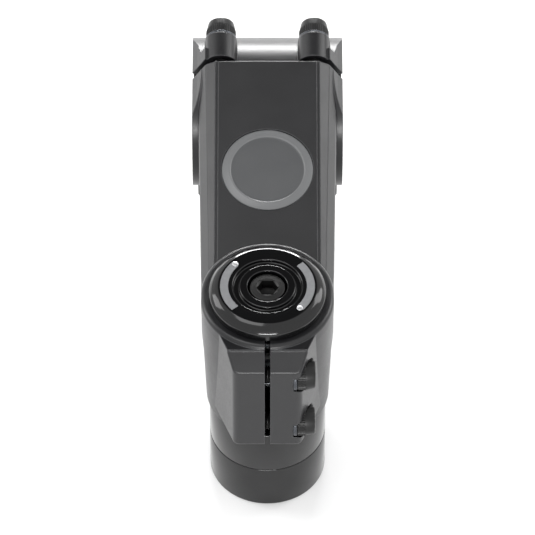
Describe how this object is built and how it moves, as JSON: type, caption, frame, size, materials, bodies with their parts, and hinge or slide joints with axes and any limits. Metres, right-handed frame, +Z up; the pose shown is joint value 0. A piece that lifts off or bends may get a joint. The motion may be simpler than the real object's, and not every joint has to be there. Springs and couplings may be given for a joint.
{
  "type": "bicycle handlebar stem",
  "caption": "Threadless bicycle handlebar stem with bolted faceplate, slotted steerer clamp, top cap with star nut, and round spacers.",
  "frame": {"origin": "on the steerer axis, in the stem's bottom face", "axes": "+Z up the steerer axis, +Y forward to the handlebar, +X to the rider's right along the handlebar axis"},
  "size_m": [0.042, 0.1231, 0.0834],
  "materials": {
    "satin_black_alloy": "satin",
    "gloss_black_alloy": "gloss",
    "badge_resin": "satin",
    "black_oxide_steel": "satin",
    "washer_steel": "satin",
    "zinc_steel": "satin"
  },
  "bodies": {
    "stem": {"stem_body": "satin_black_alloy", "badge_disc": "badge_resin", "spacer_upper": "gloss_black_alloy", "spacer_lower": "gloss_black_alloy", "star_nut_barrel": "zinc_steel", "star_nut_spring_high": "zinc_steel", "star_nut_spring_low": "zinc_steel"},
    "faceplate": {"faceplate": "satin_black_alloy", "face_washer_upper_left": "washer_steel", "face_washer_upper_right": "washer_steel", "face_washer_lower_left": "washer_steel", "face_washer_lower_right": "washer_steel"},
    "face_bolt_upper_left": {"face_bolt_upper_left": "black_oxide_steel"},
    "face_bolt_upper_right": {"face_bolt_upper_right": "black_oxide_steel"},
    "face_bolt_lower_left": {"face_bolt_lower_left": "black_oxide_steel"},
    "face_bolt_lower_right": {"face_bolt_lower_right": "black_oxide_steel"},
    "pinch_washer_upper": {"pinch_washer_upper": "washer_steel"},
    "pinch_bolt_upper": {"pinch_bolt_upper": "black_oxide_steel"},
    "pinch_washer_lower": {"pinch_washer_lower": "washer_steel"},
    "pinch_bolt_lower": {"pinch_bolt_lower": "black_oxide_steel"},
    "top_cap": {"top_cap": "gloss_black_alloy"},
    "top_cap_bolt": {"top_cap_bolt": "black_oxide_steel"}
  },
  "joints": [
    {"name": "faceplate_slide", "type": "slide", "parent": "stem", "child": "faceplate", "axis": [0, 0.9925, 0.1219], "range_m": [0, 0.0088]},
    {"name": "face_bolt_upper_left_turn", "type": "hinge", "parent": "faceplate", "child": "face_bolt_upper_left", "pos_m": [-0.013, 0.08749, 0.04889], "axis": [0, 0.9925, 0.1219], "range_deg": [0, 3960]},
    {"name": "face_bolt_upper_right_turn", "type": "hinge", "parent": "faceplate", "child": "face_bolt_upper_right", "pos_m": [0.013, 0.08749, 0.04889], "axis": [0, 0.9925, 0.1219], "range_deg": [0, 3960]},
    {"name": "face_bolt_lower_left_turn", "type": "hinge", "parent": "faceplate", "child": "face_bolt_lower_left", "pos_m": [-0.013, 0.09236, 0.00919], "axis": [0, 0.9925, 0.1219], "range_deg": [0, 3960]},
    {"name": "face_bolt_lower_right_turn", "type": "hinge", "parent": "faceplate", "child": "face_bolt_lower_right", "pos_m": [0.013, 0.09236, 0.00919], "axis": [0, 0.9925, 0.1219], "range_deg": [0, 3960]},
    {"name": "pinch_washer_upper_slide", "type": "slide", "parent": "stem", "child": "pinch_washer_upper", "axis": [1, 0, 0], "range_m": [0, 0.0072]},
    {"name": "pinch_bolt_upper_turn", "type": "hinge", "parent": "pinch_washer_upper", "child": "pinch_bolt_upper", "pos_m": [0.008, -0.0186, 0.0294], "axis": [1, 0, 0], "range_deg": [0, 3240]},
    {"name": "pinch_washer_lower_slide", "type": "slide", "parent": "stem", "child": "pinch_washer_lower", "axis": [1, 0, 0], "range_m": [0, 0.0072]},
    {"name": "pinch_bolt_lower_turn", "type": "hinge", "parent": "pinch_washer_lower", "child": "pinch_bolt_lower", "pos_m": [0.008, -0.0186, 0.01], "axis": [1, 0, 0], "range_deg": [0, 3240]},
    {"name": "top_cap_slide", "type": "slide", "parent": "stem", "child": "top_cap", "axis": [0, 0, 1], "range_m": [0, 0.012]},
    {"name": "top_cap_bolt_turn", "type": "hinge", "parent": "top_cap", "child": "top_cap_bolt", "pos_m": [0, 0, 0.0386], "axis": [0, 0, 1], "range_deg": [0, 4320]}
  ],
  "couplings": [
    {"joint": "face_bolt_upper_left_turn", "follows": "faceplate_slide", "rad_per_m": 7854},
    {"joint": "face_bolt_upper_right_turn", "follows": "faceplate_slide", "rad_per_m": 7854},
    {"joint": "face_bolt_lower_left_turn", "follows": "faceplate_slide", "rad_per_m": 7854},
    {"joint": "face_bolt_lower_right_turn", "follows": "faceplate_slide", "rad_per_m": 7854},
    {"joint": "pinch_bolt_upper_turn", "follows": "pinch_washer_upper_slide", "rad_per_m": 7854},
    {"joint": "pinch_bolt_lower_turn", "follows": "pinch_washer_lower_slide", "rad_per_m": 7854},
    {"joint": "top_cap_bolt_turn", "follows": "top_cap_slide", "rad_per_m": 6283.2}
  ]
}
